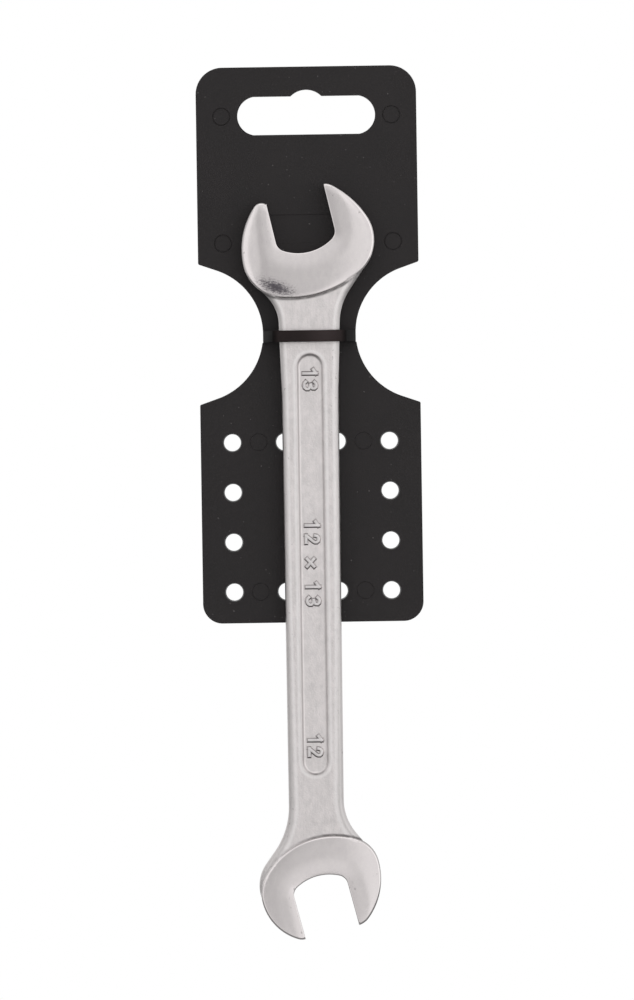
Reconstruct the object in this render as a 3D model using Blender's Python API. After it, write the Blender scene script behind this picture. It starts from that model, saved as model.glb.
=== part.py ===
"""Double open end wrench, 12 and 13 mm, tied to a moulded hang card.

Metres, +Z up, and the front faces -Y. The origin is the apex of the hang slot's notch,
halfway through the card. Three pieces: the card, the cable tie and the forged wrench.
"""
from bisect import bisect_right
import math
from typing import NamedTuple

import bmesh
import bpy
from mathutils import Vector
from mathutils.geometry import delaunay_2d_cdt

MM = 0.001
HALF = 0.5

# Clearances and the fineness of curves
GAP = 0.3 * MM
OVERRUN = 1.0 * MM
SEAM = 0.05 * MM
FACET_SAG = 0.02 * MM
FACET_TURN = math.radians(18.0)
CREASE_ANGLE = math.radians(30.0)

# Hang card
CARD_WIDTH = 48.0 * MM
CARD_HEIGHT = 121.0 * MM
CARD_THICKNESS = 1.8 * MM
CARD_EDGE_BREAK = 0.3 * MM
CARD_TOP_RADIUS = 5.8 * MM
CARD_FOOT_RADIUS = 4.3 * MM
WAIST_WIDTH = 20.2 * MM
WAIST_RADIUS = 15.5 * MM
WAIST_CORNER_RADIUS = 0.4 * MM
WAIST_ABOVE_FOOT = 62.5 * MM
SLOT_LENGTH = 30.0 * MM
SLOT_HEIGHT = 8.4 * MM
SLOT_END_RISE = 3.5 * MM
NOTCH_WIDTH = 6.7 * MM
NOTCH_RISE = 1.4 * MM
NOTCH_BELOW_TOP = 5.0 * MM
HOLE_RADIUS = 2.1 * MM
HOLE_PITCH_ACROSS = 11.4 * MM
HOLE_BELOW_WAIST = 23.15 * MM
HOLE_ABOVE_FOOT = 6.8 * MM
HOLES_ACROSS = 4
HOLES_DOWN = 4
INSERT_WIDTH = 20.0 * MM
INSERT_HEIGHT = 6.2 * MM
MARK_RADIUS = 1.85 * MM
MARK_ABOVE_WAIST = 20.2 * MM
MARK_BELOW_TOP = 10.7 * MM
RELIEF_DEPTH = 0.15 * MM
# Place of the insert's middle on the way from the waist to the slot, and of a mark in the room beside it
INSERT_PLACE_SHARE = 0.53
MARK_PLACE_SHARE = 0.287

# Wrench, shank: widths where the neck leaves the tie, where it ends and at the lower head
NECK_WIDTH = 13.2 * MM
NECK_LENGTH = 14.5 * MM
SHANK_WIDTH = 12.4 * MM
SHANK_FOOT_WIDTH = 11.9 * MM
SHANK_THICKNESS = 4.4 * MM
SHANK_EDGE = 0.85 * MM
HEAD_THICKNESS = 5.6 * MM
JAWS_APART = 149.7 * MM
JAW_13_ABOVE_TIE = 25.4 * MM
PANEL_BELOW_TIE = 4.0 * MM
PANEL_LENGTH = 91.7 * MM
PANEL_WIDTH = 6.0 * MM
PANEL_DEPTH = 0.5 * MM
PANEL_DRAFT = 0.55 * MM

# Wrench, 13 mm head: a disc of tangent arcs. The long jaw is the one that reaches further up.
JAW_WIDTH_13 = 13.0 * MM
JAW_OFFSET_13 = 1.5 * MM
JAW_ANGLE_13 = math.radians(13.0)
THROAT_DEPTH_13 = 7.6 * MM
THROAT_RADIUS_13 = 10.3 * MM
THROAT_CORNER_13 = 2.5 * MM
BACK_DEPTH_13 = 17.05 * MM
BACK_OFFSET_13 = 1.0 * MM
BACK_RADIUS_13 = 23.5 * MM
SHORT_SHOULDER_13 = 9.2 * MM
SHORT_CHEEK_13 = 16.4 * MM
SHORT_TIP_13 = 1.9 * MM
LONG_CHEEK_13 = 9.3 * MM
LONG_BROW_13 = 19.7 * MM
LONG_TIP_13 = 3.5 * MM
ARC_JOINTS_13 = (45.0, 132.3, 178.1, 252.0, 296.5, 379.8, 409.8, 450.0)
LONG_FLANK_ANGLE_13 = math.radians(34.2)
LONG_STAND_OUT_13 = -0.1 * MM
LONG_ROOT_13 = 13.5 * MM
SHORT_FLANK_ANGLE_13 = math.radians(44.2)
SHORT_STAND_OUT_13 = -0.25 * MM
SHORT_ROOT_13 = 9.0 * MM

# Wrench, 12 mm head, turned half round: its long jaw is on the other side
JAW_WIDTH_12 = 12.0 * MM
JAW_OFFSET_12 = 1.7 * MM
JAW_ANGLE_12 = math.radians(14.6)
THROAT_DEPTH_12 = 7.0 * MM
THROAT_RADIUS_12 = 10.2 * MM
THROAT_CORNER_12 = 2.3 * MM
BACK_DEPTH_12 = 15.05 * MM
BACK_OFFSET_12 = 1.45 * MM
BACK_RADIUS_12 = 17.2 * MM
SHORT_SHOULDER_12 = 6.9 * MM
SHORT_CHEEK_12 = 14.6 * MM
SHORT_TIP_12 = 4.05 * MM
LONG_CHEEK_12 = 8.0 * MM
LONG_BROW_12 = 11.2 * MM
LONG_TIP_12 = 2.85 * MM
ARC_JOINTS_12 = (80.0, 129.0, 180.2, 238.2, 313.9, 360.1, 418.8, 460.0)
LONG_FLANK_ANGLE_12 = math.radians(35.6)
LONG_STAND_OUT_12 = 1.29 * MM
LONG_ROOT_12 = 17.0 * MM
SHORT_FLANK_ANGLE_12 = math.radians(39.1)
SHORT_STAND_OUT_12 = -0.48 * MM
SHORT_ROOT_12 = 11.3 * MM

# Crown of a head: inset as a share of the disc, height as a share of half the head's thickness
CROWN_SHARES = ((0.0, 0.50), (0.006, 0.68), (0.02, 0.80), (0.045, 0.885),
                (0.09, 0.935), (0.18, 0.97), (0.35, 1.0))
# Edge of the shank: inset as a share of SHANK_EDGE, height as a share of half the shank's thickness
EDGE_SHARES = ((0.0, 0.50), (0.25, 0.84), (1.0, 1.0))

# Cable tie, its strap seated in the card's waist flush with the outline
TIE_BELOW_WAIST = 0.3 * MM
STRAP_WIDTH = 2.5 * MM
STRAP_THICKNESS = 1.1 * MM
STRAP_RAIL = 0.45 * MM
STRAP_FRONT_RADIUS = 1.0 * MM
STRAP_SIDE_RADIUS = 0.5 * MM
STRAP_BEND_RADIUS = 0.5 * MM
TOOTH_PITCH = 1.0 * MM
TOOTH_DEPTH = 0.35 * MM
TOOTH_SHARES = ((0.0, 1.0), (0.65, 0.0), (0.85, 0.0))
LOCK_HEIGHT = 3.5 * MM
LOCK_WALL = 1.3 * MM
LOCK_FAR_WALL = 0.9 * MM
LOCK_SIDE_WALL = 0.8 * MM
LOCK_EDGE = 0.4 * MM
LOCK_OFFSET = 0.5 * MM
PAWL_WIDTH = 1.3 * MM
PAWL_REACH = 0.5 * MM
PAWL_LENGTH = 1.7 * MM
PAWL_NOTCH = 0.15 * MM
# Corners of the pawl: along it, out from the lock's wall, and how much of a notch is taken off
PAWL_SHARES = ((0.0, 0.0, 0.0), (0.5, 1.0, 0.0), (0.65, 1.0, 1.0), (0.75, 1.0, 0.0),
               (0.9, 1.0, 1.0), (1.0, 1.0, 0.0), (1.0, 0.15, 0.0), (0.5, -0.5, 0.0))
TAIL_STUB = 0.8 * MM

# Places that follow from the sizes
CARD_TOP = NOTCH_BELOW_TOP
CARD_FOOT = CARD_TOP - CARD_HEIGHT
WAIST = CARD_FOOT + WAIST_ABOVE_FOOT
TIE_MIDDLE = WAIST - TIE_BELOW_WAIST
STRAP_SIDE = HALF * WAIST_WIDTH - STRAP_THICKNESS
SLOT_SHELF = -NOTCH_RISE
SLOT_FLOOR = SLOT_SHELF - SLOT_HEIGHT
HOLE_FOOT_ROW = CARD_FOOT + HOLE_ABOVE_FOOT
HOLE_TOP_ROW = WAIST - HOLE_BELOW_WAIST
CARD_FACE = HALF * CARD_THICKNESS
WRENCH_BACK = CARD_FACE + GAP
WRENCH_MIDDLE = -(WRENCH_BACK + HALF * HEAD_THICKNESS)


class Head(NamedTuple):
    """One open end. Its frame has v up the jaw's axis and u across it, towards the long jaw."""
    turned: bool
    centre: Vector
    angle: float
    jaw: float
    throat_depth: float
    throat_radius: float
    throat_corner: float
    back_centre: Vector
    back_depth: float
    radii: tuple
    joints: tuple
    flanks: tuple


HEAD_13 = Head(
    turned=False,
    centre=Vector((-JAW_OFFSET_13, JAW_13_ABOVE_TIE)),
    angle=JAW_ANGLE_13,
    jaw=JAW_WIDTH_13,
    throat_depth=THROAT_DEPTH_13,
    throat_radius=THROAT_RADIUS_13,
    throat_corner=THROAT_CORNER_13,
    back_centre=Vector((-BACK_OFFSET_13, BACK_RADIUS_13 - BACK_DEPTH_13)),
    back_depth=BACK_DEPTH_13,
    radii=(SHORT_TIP_13, SHORT_CHEEK_13, SHORT_SHOULDER_13, BACK_RADIUS_13,
           LONG_CHEEK_13, LONG_BROW_13, LONG_TIP_13),
    joints=tuple(math.radians(joint) for joint in ARC_JOINTS_13),
    flanks=((LONG_FLANK_ANGLE_13, LONG_STAND_OUT_13, LONG_ROOT_13, LONG_CHEEK_13),
            (SHORT_FLANK_ANGLE_13, SHORT_STAND_OUT_13, SHORT_ROOT_13, SHORT_SHOULDER_13)),
)
HEAD_12 = Head(
    turned=True,
    centre=Vector((JAW_OFFSET_12, JAW_13_ABOVE_TIE - JAWS_APART)),
    angle=JAW_ANGLE_12,
    jaw=JAW_WIDTH_12,
    throat_depth=THROAT_DEPTH_12,
    throat_radius=THROAT_RADIUS_12,
    throat_corner=THROAT_CORNER_12,
    back_centre=Vector((-BACK_OFFSET_12, BACK_RADIUS_12 - BACK_DEPTH_12)),
    back_depth=BACK_DEPTH_12,
    radii=(SHORT_TIP_12, SHORT_CHEEK_12, SHORT_SHOULDER_12, BACK_RADIUS_12,
           LONG_CHEEK_12, LONG_BROW_12, LONG_TIP_12),
    joints=tuple(math.radians(joint) for joint in ARC_JOINTS_12),
    flanks=((LONG_FLANK_ANGLE_12, LONG_STAND_OUT_12, LONG_ROOT_12, LONG_CHEEK_12),
            (SHORT_FLANK_ANGLE_12, SHORT_STAND_OUT_12, SHORT_ROOT_12, SHORT_SHOULDER_12)),
)


def clear_scene():
    """Remove whatever the file holds."""
    for thing in list(bpy.data.objects):
        bpy.data.objects.remove(thing, do_unlink=True)


def material(name, colour, roughness, metallic):
    """A plain Principled material."""
    made = bpy.data.materials.new(name)
    made.use_nodes = True
    shader = made.node_tree.nodes["Principled BSDF"]
    shader.inputs["Base Color"].default_value = (*colour, 1.0)
    shader.inputs["Roughness"].default_value = roughness
    shader.inputs["Metallic"].default_value = metallic
    return made


def heading(angle):
    """Unit vector of the plane."""
    return Vector((math.cos(angle), math.sin(angle)))


def arc(centre, radius, start, end):
    """Points along an arc, close enough to the true curve."""
    step = min(FACET_TURN, 2 * math.acos(1 - min(FACET_SAG / radius, HALF)))
    count = max(2, math.ceil(abs(end - start) / step))
    return [centre + radius * heading(start + (end - start) * i / count) for i in range(count + 1)]


def circle(centre, radius):
    """Points round a full circle, counterclockwise."""
    return arc(centre, radius, 0, 2 * math.pi)[:-1]


def bulge(first, last, rise):
    """Arc from first to last that stands out to the right of the chord by rise."""
    chord = last - first
    radius = ((HALF * chord.length) ** 2 + rise ** 2) / (2 * rise)
    inward = Vector((-chord.y, chord.x)).normalized()
    centre = (first + last) / 2 + inward * (radius - rise)
    start = math.atan2(first.y - centre.y, first.x - centre.x)
    sweep = 4 * math.atan(2 * rise / chord.length)
    return arc(centre, radius, start, start + sweep)


def rounded(before, corner, after, radius, room):
    """Arc that rounds one corner, as long as there is room for it on both sides."""
    back, on = before - corner, after - corner
    half = HALF * back.angle(on)
    reach = min(radius / math.tan(half), room)
    radius = reach * math.tan(half)
    centre = corner + (back.normalized() + on.normalized()).normalized() * radius / math.sin(half)
    start = corner + back.normalized() * reach - centre
    turn = math.copysign(math.pi - 2 * half, -back.cross(on))
    first = math.atan2(start.y, start.x)
    return arc(centre, radius, first, first + turn)


def rounded_path(corners):
    """Path through corners, each with its radius. Two round corners share the side between them."""
    points = []
    count = len(corners)
    for i, (corner, radius) in enumerate(corners):
        if not radius:
            points.append(corner)
            continue
        before, after = corners[i - 1], corners[(i + 1) % count]
        room = min((corner - place).length * (HALF if other else 1) for place, other in (before, after))
        points += rounded(before[0], corner, after[0], radius, room)
    return points


def meet(point, along, other, other_along):
    """Where two lines of the plane cross."""
    return point + along * (other - point).cross(other_along) / along.cross(other_along)


def inset(points, distance):
    """A closed outline, counterclockwise, moved inwards by distance."""
    moved = []
    for i, point in enumerate(points):
        before = (point - points[i - 1]).normalized()
        after = (points[(i + 1) % len(points)] - point).normalized()
        inward = Vector((-before.y - after.y, before.x + after.x))
        moved.append(point + inward * (2 * distance / inward.length_squared))
    return moved


def add_object(name, work, finish=None):
    """An object from a bmesh, with its normals made to face out. Frees the bmesh."""
    bmesh.ops.recalc_face_normals(work, faces=work.faces)
    bmesh.ops.triangulate(work, faces=work.faces)
    mesh = bpy.data.meshes.new(name)
    work.to_mesh(mesh)
    work.free()
    mesh.shade_smooth()
    mesh.set_sharp_from_angle(angle=CREASE_ANGLE)
    if finish:
        mesh.materials.append(finish)
    thing = bpy.data.objects.new(name, mesh)
    bpy.context.scene.collection.objects.link(thing)
    return thing


def add_wall(work, sections):
    """Faces between closed sections of equal count. Returns their rings of vertices."""
    rings = [[work.verts.new(place) for place in section] for section in sections]
    for lower, upper in zip(rings, rings[1:]):
        for i in range(len(lower)):
            work.faces.new((lower[i - 1], lower[i], upper[i], upper[i - 1]))
    return rings


def loft(name, sections, finish=None):
    """A solid through sections of equal count, closed by a flat face at each end."""
    work = bmesh.new()
    rings = add_wall(work, sections)
    work.faces.new(rings[0])
    work.faces.new(rings[-1])
    return add_object(name, work, finish)


def upright(points, y):
    """Points of the front view, x and z, at one depth."""
    return [(point.x, y, point.y) for point in points]


def level(points, z):
    """Points of the plan view, x and y, at one height."""
    return [(point.x, point.y, z) for point in points]


def cutter(thing):
    """Mark a solid as a tool for another one's booleans."""
    thing.hide_render = True
    thing.display_type = "WIRE"
    return thing


def combine(target, tool, operation):
    """Boolean of a marked tool, kept as a modifier."""
    cut = target.modifiers.new(f"{operation.title()} {tool.name}", "BOOLEAN")
    cut.operation = operation
    cut.object = cutter(tool)
    cut.solver = "EXACT"


# Hang card

def card_outline():
    """Outer edge of the card with the strap's two seats, counterclockwise from the front."""
    half_width = HALF * CARD_WIDTH
    waist_x = HALF * WAIST_WIDTH + WAIST_RADIUS
    corner_x = half_width - WAIST_CORNER_RADIUS
    reach = WAIST_RADIUS + WAIST_CORNER_RADIUS
    corner_rise = math.sqrt(reach ** 2 - (waist_x - corner_x) ** 2)
    lean = math.atan2(corner_rise, waist_x - corner_x)
    foot = Vector((half_width - CARD_FOOT_RADIUS, CARD_FOOT + CARD_FOOT_RADIUS))
    top = Vector((half_width - CARD_TOP_RADIUS, CARD_TOP - CARD_TOP_RADIUS))
    right = arc(foot, CARD_FOOT_RADIUS, -HALF * math.pi, 0)
    right += arc(Vector((corner_x, WAIST - corner_rise)), WAIST_CORNER_RADIUS, 0, lean)
    seat_half = HALF * STRAP_WIDTH + GAP
    seat = [Vector((STRAP_SIDE - GAP, TIE_MIDDLE + z)) for z in (-seat_half, seat_half)]
    low, high = (math.pi - math.asin((corner.y - WAIST) / WAIST_RADIUS) for corner in seat)
    waist = Vector((waist_x, WAIST))
    right += arc(waist, WAIST_RADIUS, math.pi + lean, low)[1:] + seat
    right += arc(waist, WAIST_RADIUS, high, math.pi - lean)[:-1]
    right += arc(Vector((corner_x, WAIST + corner_rise)), WAIST_CORNER_RADIUS, -lean, 0)
    right += arc(top, CARD_TOP_RADIUS, 0, HALF * math.pi)
    left = [Vector((-point.x, point.y)) for point in reversed(right)]
    return right + left


def slot_outline():
    """Hang slot with round ends and a notch at the middle of its upper edge."""
    end = HALF * SLOT_LENGTH - SLOT_END_RISE
    notch = HALF * NOTCH_WIDTH
    points = bulge(Vector((end, SLOT_FLOOR)), Vector((end, SLOT_SHELF)), SLOT_END_RISE)
    points += bulge(Vector((notch, SLOT_SHELF)), Vector((-notch, SLOT_SHELF)), NOTCH_RISE)
    points += bulge(Vector((-end, SLOT_SHELF)), Vector((-end, SLOT_FLOOR)), SLOT_END_RISE)
    return points


def hole_centres():
    """Square of holes without its inner ones."""
    centres = []
    for column in range(HOLES_ACROSS):
        for row in range(HOLES_DOWN):
            inner = 0 < column < HOLES_ACROSS - 1 and 0 < row < HOLES_DOWN - 1
            if not inner:
                x = (column - HALF * (HOLES_ACROSS - 1)) * HOLE_PITCH_ACROSS
                z = HOLE_FOOT_ROW + (HOLE_TOP_ROW - HOLE_FOOT_ROW) * row / (HOLES_DOWN - 1)
                centres.append(Vector((x, z)))
    return centres


def mark_centres():
    """Places of the ejector marks: four by the card's sides, four between the holes."""
    reach = MARK_RADIUS + CARD_EDGE_BREAK
    inner = HALF * SLOT_LENGTH + reach
    outer = HALF * CARD_WIDTH - reach
    side = inner + MARK_PLACE_SHARE * (outer - inner)
    rows = ((side, CARD_TOP - MARK_BELOW_TOP), (side, WAIST + MARK_ABOVE_WAIST),
            (HOLE_PITCH_ACROSS, HOLE_TOP_ROW), (HOLE_PITCH_ACROSS, HOLE_FOOT_ROW))
    return [Vector((sign * x, z)) for x, z in rows for sign in (-1, 1)]


def fill(work, rings):
    """Flat face inside the first ring of vertices and outside the others, as triangles."""
    vertices = [vertex for ring in rings for vertex in ring]
    loops = []
    for ring in rings:
        start = sum(len(loop) for loop in loops)
        loops.append(range(start, start + len(ring)))
    places = [vertex.co.xz for vertex in vertices]
    cut = delaunay_2d_cdt(places, [], loops, 0, 0, True)
    triangles, sources, loops_over = cut[2], cut[3], cut[5]
    for triangle, over in zip(triangles, loops_over):
        if over == [0]:
            work.faces.new([vertices[sources[corner][0]] for corner in triangle])


def plate(name, outer, openings, reliefs, finish):
    """The card's flat plate, with every edge broken by a small chamfer and shallow reliefs in front."""
    work = bmesh.new()
    half = HALF * CARD_THICKNESS
    wall = half - CARD_EDGE_BREAK
    fronts, backs = [], []
    for points in [outer] + openings:
        small = inset(points, CARD_EDGE_BREAK if points is outer else -CARD_EDGE_BREAK)
        rings = add_wall(work, [upright(small, -half), upright(points, -wall),
                                upright(points, wall), upright(small, half)])
        fronts.append(rings[0])
        backs.append(rings[-1])
    for points in reliefs:
        lip, floor = add_wall(work, [upright(points, -half), upright(points, RELIEF_DEPTH - half)])
        work.faces.new(floor)
        fronts.append(lip)
    fill(work, fronts)
    fill(work, backs)
    return add_object(name, work, finish)


def hang_card():
    """The moulded card."""
    plastic = material("black_moulded_plastic", (0.032, 0.028, 0.029), 0.55, 0.0)
    openings = [slot_outline()] + [circle(centre, HOLE_RADIUS) for centre in hole_centres()]
    side = HALF * INSERT_WIDTH
    low = WAIST + INSERT_PLACE_SHARE * (SLOT_FLOOR - WAIST) - HALF * INSERT_HEIGHT
    high = low + INSERT_HEIGHT
    insert = [Vector((-side, low)), Vector((side, low)), Vector((side, high)), Vector((-side, high))]
    marks = [circle(centre, MARK_RADIUS) for centre in mark_centres()]
    return plate("hang_card", card_outline(), openings, [insert] + marks, plastic)


# Wrench, in its own frame: x across, z up from the tie's middle, y from the forging's middle

def disc_outline(head):
    """Tangent arcs from the short jaw's tip round the back to the long jaw's tip, in the jaw's frame."""
    radii, joints = head.radii, head.joints
    middle = len(radii) // 2
    centres = [None] * len(radii)
    centres[middle] = head.back_centre
    for i in range(middle + 1, len(radii)):
        centres[i] = centres[i - 1] + (radii[i - 1] - radii[i]) * heading(joints[i])
    for i in range(middle - 1, -1, -1):
        centres[i] = centres[i + 1] + (radii[i + 1] - radii[i]) * heading(joints[i + 1])
    points = []
    for i, (centre, radius) in enumerate(zip(centres, radii)):
        points += arc(centre, radius, joints[i], joints[i + 1])[:-1]
    return points + [centres[-1] + radii[-1] * heading(joints[-1])]


def in_wrench(head, point):
    """A point of the jaw's frame in the wrench's frame."""
    turn = head.angle + (math.pi if head.turned else 0)
    across, along = heading(turn), heading(turn + HALF * math.pi)
    return head.centre + point.x * across + point.y * along


def crowned_disc(name, head):
    """The head's disc, rounded at its rim and slightly crowned on both faces."""
    outline = disc_outline(head)
    hub = Vector((0, HALF * (head.throat_depth - head.back_depth)))
    half = HALF * HEAD_THICKNESS
    sections = [(share, -height) for share, height in reversed(CROWN_SHARES)] + list(CROWN_SHARES)
    rings = []
    for share, height in sections:
        points = [in_wrench(head, hub + (point - hub) * (1 - share)) for point in outline]
        rings.append(upright(points, height * half))
    return loft(name, rings)


def jaw_cutter(name, head):
    """Parallel flats, relieved corners and a round throat, open past the tips."""
    side = HALF * head.jaw
    corner = head.throat_corner
    throat = Vector((0, head.throat_radius - head.throat_depth))
    corner_x = side - corner
    drop = math.sqrt((head.throat_radius - corner) ** 2 - corner_x ** 2)
    corner_centre = Vector((corner_x, throat.y - drop))
    lean = math.atan2(-drop, corner_x)
    mouth = head.jaw + OVERRUN
    right = arc(throat, head.throat_radius, -HALF * math.pi, lean)[:-1]
    right += arc(corner_centre, corner, lean, 0)
    right.append(Vector((side, mouth)))
    left = [Vector((-point.x, point.y)) for point in reversed(right[1:])]
    points = [in_wrench(head, point) for point in right + left]
    depth = HALF * HEAD_THICKNESS + OVERRUN
    return loft(name, [upright(points, -depth), upright(points, depth)])


def neck_corners(head, side, shank_point, shank_along):
    """Corners of the neck on one side, from the shank to inside the disc, each with its radius."""
    outline = disc_outline(head)
    long_side = side > 0
    flank, stand_out, root_radius, shoulder_radius = head.flanks[0 if long_side else 1]
    lean = -(flank + head.angle) if long_side else math.pi + flank - head.angle
    normal, along_flank = heading(lean), heading(lean + HALF * math.pi)
    on_flank = max(outline, key=lambda point: point.dot(normal)) + stand_out * normal
    root_point = in_wrench(head, on_flank)
    root_along = in_wrench(head, on_flank + along_flank * head.jaw) - root_point
    corners = [(meet(root_point, root_along, shank_point, shank_along), root_radius)]
    if stand_out > 0:
        widest = max(outline, key=lambda point: side * point.x)
        cheek = Vector((widest.x - side * SEAM, widest.y))
        shoulder = meet(on_flank, along_flank, cheek, Vector((0, 1)))
        corners += [(in_wrench(head, shoulder), shoulder_radius), (in_wrench(head, cheek), 0)]
    else:
        corners.append((root_point, 0))
    return corners


def shank_outline():
    """Shank and both necks, ending inside the heads, counterclockwise from the front."""
    neck_top = HALF * STRAP_WIDTH
    neck_foot = neck_top - NECK_LENGTH
    foot = HEAD_12.centre.y + HEAD_12.back_depth
    corners = []
    for side in (1, -1):
        top = Vector((side * HALF * NECK_WIDTH, neck_top))
        middle = Vector((side * HALF * SHANK_WIDTH, neck_foot))
        low = Vector((side * HALF * SHANK_FOOT_WIDTH, foot))
        upper = neck_corners(HEAD_13, side, middle, top - middle)
        lower = neck_corners(HEAD_12, -side, low, middle - low)
        run = list(reversed(lower)) + [(middle, 0)] + upper
        corners += run if side > 0 else list(reversed(run))
    return rounded_path(corners)


def panel_cutter(name, facing):
    """Stadium recess of one face, its walls drawn in towards the floor."""
    face = HALF * SHANK_THICKNESS
    slope = PANEL_DRAFT / PANEL_DEPTH
    rings = []
    for depth in (-OVERRUN, PANEL_DEPTH):
        radius = HALF * PANEL_WIDTH - depth * slope
        top = Vector((0, -PANEL_BELOW_TIE - HALF * PANEL_WIDTH))
        low = Vector((0, HALF * PANEL_WIDTH - PANEL_BELOW_TIE - PANEL_LENGTH))
        steps = arc(Vector((0, 0)), HALF * PANEL_WIDTH, 0, math.pi)
        points = [top + radius * point.normalized() for point in steps]
        points += [low - radius * point.normalized() for point in steps]
        rings.append(upright(points, facing * (face - depth)))
    return loft(name, rings)


def wrench():
    """The forging: shank slab, two crowned discs, then the jaws and the panels cut from it."""
    chrome = material("satin_chrome", (0.62, 0.60, 0.60), 0.32, 1.0)
    outline = shank_outline()
    half = HALF * SHANK_THICKNESS
    sections = [(share, -height) for share, height in reversed(EDGE_SHARES)] + list(EDGE_SHARES)
    rings = [upright(inset(outline, share * SHANK_EDGE), height * half) for share, height in sections]
    body = loft("wrench", rings, chrome)
    tools = [(crowned_disc("disc_13", HEAD_13), "UNION"),
             (crowned_disc("disc_12", HEAD_12), "UNION"),
             (jaw_cutter("jaw_cut_13", HEAD_13), "DIFFERENCE"),
             (jaw_cutter("jaw_cut_12", HEAD_12), "DIFFERENCE"),
             (panel_cutter("panel_front", -1), "DIFFERENCE"),
             (panel_cutter("panel_back", 1), "DIFFERENCE")]
    for tool, operation in tools:
        tool.parent = body
        combine(body, tool, operation)
    body.location = (0, WRENCH_MIDDLE, WAIST)
    return body


# Cable tie, in its own frame: the loop lies level, z from the strap's middle

def strap_route():
    """Inner face of the strap in plan: from the lock round card and shank, then up through the window."""
    back = CARD_FACE + GAP
    front_x = HALF * NECK_WIDTH + GAP
    front_y = WRENCH_MIDDLE - HALF * SHANK_THICKNESS - GAP
    tail_x = LOCK_OFFSET + LOCK_WALL + PAWL_REACH + HALF * GAP
    return rounded_path([
        (Vector((LOCK_OFFSET + HALF * LOCK_WALL, back)), 0),
        (Vector((-STRAP_SIDE, back)), STRAP_SIDE_RADIUS),
        (Vector((-STRAP_SIDE, -CARD_FACE)), STRAP_SIDE_RADIUS),
        (Vector((-front_x, front_y)), STRAP_FRONT_RADIUS),
        (Vector((front_x, front_y)), STRAP_FRONT_RADIUS),
        (Vector((STRAP_SIDE, -CARD_FACE)), STRAP_SIDE_RADIUS),
        (Vector((STRAP_SIDE, back)), STRAP_SIDE_RADIUS),
        (Vector((tail_x, back)), STRAP_BEND_RADIUS + STRAP_THICKNESS),
        (Vector((tail_x, back + LOCK_HEIGHT + TAIL_STUB)), 0),
    ])


def blend(keys, values, key):
    """Value at key between its neighbours. The keys are in rising order."""
    k = min(bisect_right(keys, key), len(keys) - 1)
    share = (key - keys[k - 1]) / (keys[k] - keys[k - 1])
    return values[k - 1] + (values[k] - values[k - 1]) * share


def stations(route):
    """Each place along the route, the way out from the loop there, and how deep the teeth are cut."""
    steps = [after - before for before, after in zip(route, route[1:])]
    lengths = [0.0]
    for step in steps:
        lengths.append(lengths[-1] + step.length)
    outward = []
    for before, after in zip(steps[:1] + steps, steps + steps[-1:]):
        along = before.normalized() + after.normalized()
        outward.append(Vector((along.y, -along.x)) * (2 / along.length_squared))
    whole = lengths[-1]
    teeth = [((tooth + share) * TOOTH_PITCH, depth)
             for tooth in range(int(whole / TOOTH_PITCH)) for share, depth in TOOTH_SHARES]
    marks, depths = zip(*teeth, (whole, 0.0))
    placed = []
    last = -SEAM
    for mark in sorted(marks + tuple(lengths)):
        if mark - last >= SEAM:
            place = blend(lengths, route, mark), blend(lengths, outward, mark), blend(marks, depths, mark)
            placed.append(place)
            last = mark
    return placed


def strap(name):
    """Strap swept along its route: smooth outside, two rails inside and the teeth just below them."""
    half = HALF * STRAP_WIDTH
    trough = half - STRAP_RAIL
    rings = []
    for point, outward, depth in stations(strap_route()):
        outer = point + outward * STRAP_THICKNESS
        floor = point + outward * (SEAM + depth * TOOTH_DEPTH)
        section = [(outer, half), (point, half), (point, trough), (floor, trough),
                   (floor, -trough), (point, -trough), (point, -half), (outer, -half)]
        rings.append([(place.x, place.y, z) for place, z in section])
    return loft(name, rings)


def block(name, low, high, z_half):
    """Level box between two corners of the plan view."""
    corners = [low, Vector((high.x, low.y)), high, Vector((low.x, high.y))]
    return loft(name, [level(corners, -z_half), level(corners, z_half)])


def pawl(name, root_x, back):
    """Sprung tongue of the lock, with two teeth that face the strap's."""
    foot = back + HALF * LOCK_WALL
    corners = [Vector((root_x - HALF * PAWL_REACH, foot))]
    for along, out, notch in PAWL_SHARES:
        x = root_x + out * PAWL_REACH - notch * PAWL_NOTCH
        corners.append(Vector((x, foot + along * PAWL_LENGTH)))
    half = HALF * PAWL_WIDTH
    return loft(name, [level(corners, -half), level(corners, half)])


def cable_tie():
    """The tie: its lock stands behind the card, the strap runs round and its tail through the window."""
    nylon = material("black_nylon", (0.022, 0.020, 0.021), 0.38, 0.0)
    back = CARD_FACE + GAP
    lock_top = back + LOCK_HEIGHT
    window_left = LOCK_OFFSET + LOCK_WALL
    window_right = window_left + PAWL_REACH + STRAP_THICKNESS + 2 * GAP
    right = window_right + LOCK_FAR_WALL
    passage = HALF * STRAP_WIDTH + GAP
    tie = block("cable_tie", Vector((LOCK_OFFSET, back + SEAM)), Vector((right, lock_top)),
                passage + LOCK_SIDE_WALL)
    tie.data.materials.append(nylon)
    edge = tie.modifiers.new("Rounded lock", "BEVEL")
    edge.width = LOCK_EDGE
    edge.segments = 2
    entry_top = back + STRAP_THICKNESS + STRAP_BEND_RADIUS
    window = block("lock_window", Vector((window_left, back - OVERRUN)),
                   Vector((window_right, lock_top + OVERRUN)), passage)
    entry = block("lock_entry", Vector((window_left, back - OVERRUN)),
                  Vector((right + OVERRUN, entry_top)), passage)
    tools = [(window, "DIFFERENCE"), (entry, "DIFFERENCE"),
             (pawl("lock_pawl", window_left, back), "UNION"), (strap("strap"), "UNION")]
    for tool, operation in tools:
        tool.parent = tie
        combine(tie, tool, operation)
    tie.location = (0, 0, TIE_MIDDLE)
    return tie


clear_scene()
hang_card()
cable_tie()
wrench()
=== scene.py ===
"""Carded double open end wrench: the looks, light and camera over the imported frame."""
import math
from typing import NamedTuple

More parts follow.
